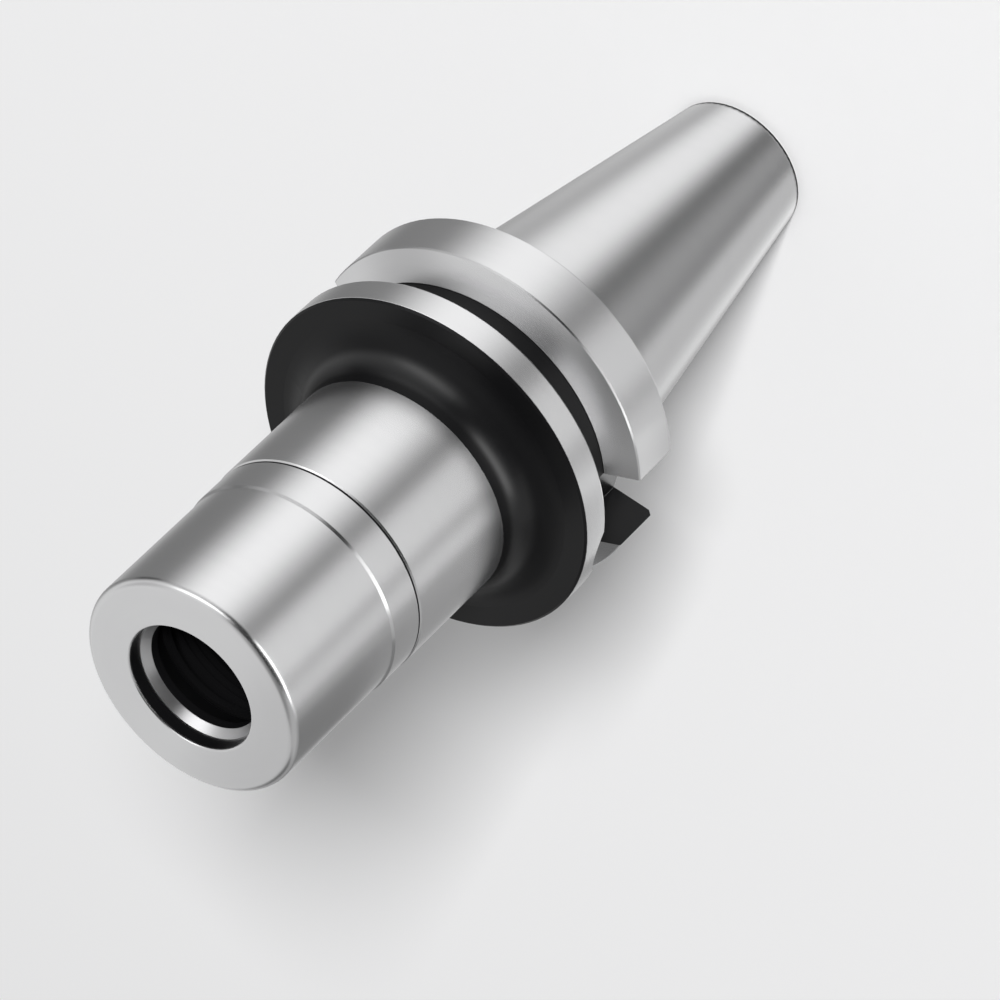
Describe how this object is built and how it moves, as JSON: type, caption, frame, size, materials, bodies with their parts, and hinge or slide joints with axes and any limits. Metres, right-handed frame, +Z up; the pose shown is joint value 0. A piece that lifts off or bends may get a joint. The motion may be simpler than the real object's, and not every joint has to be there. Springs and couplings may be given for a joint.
{
  "type": "collet chuck holder",
  "caption": "Collet chuck holder with a steep spindle taper, a grooved gripper flange with two drive keyways, and a smooth round clamping nut that screws over its slim nose.",
  "frame": {"origin": "centre of the small end face of the taper, on which the holder stands", "axes": "+Z up the spindle axis from the taper to the nut; +X through the middle of one drive keyway"},
  "size_m": [0.063, 0.063, 0.1554],
  "materials": {
    "ground_steel": "ground alloy steel, with black oxide left in the groove, the keyways, the front face and the bore",
    "nut_steel": "ground alloy steel with polished edges",
    "ring_steel": "polished hardened steel",
    "spring_steel": "oiled spring steel"
  },
  "bodies": {
    "holder": {"holder_body": "ground_steel"},
    "bearing_ring": {"thrust_ring": "ring_steel"},
    "nut": {"clamping_nut": "nut_steel", "snap_ring": "spring_steel"}
  },
  "joints": [
    {"name": "nut_travel", "type": "slide", "parent": "holder", "child": "bearing_ring", "axis": [0, 0, 1], "range_m": [0, 0.012]},
    {"name": "nut_turn", "type": "hinge", "parent": "bearing_ring", "child": "nut", "pos_m": [0, 0, 0.14], "axis": [0, 0, 1], "range_deg": [0, 2880]}
  ],
  "couplings": [
    {"joint": "nut_travel", "follows": "nut_turn", "m_per_rad": 0.00023873}
  ]
}
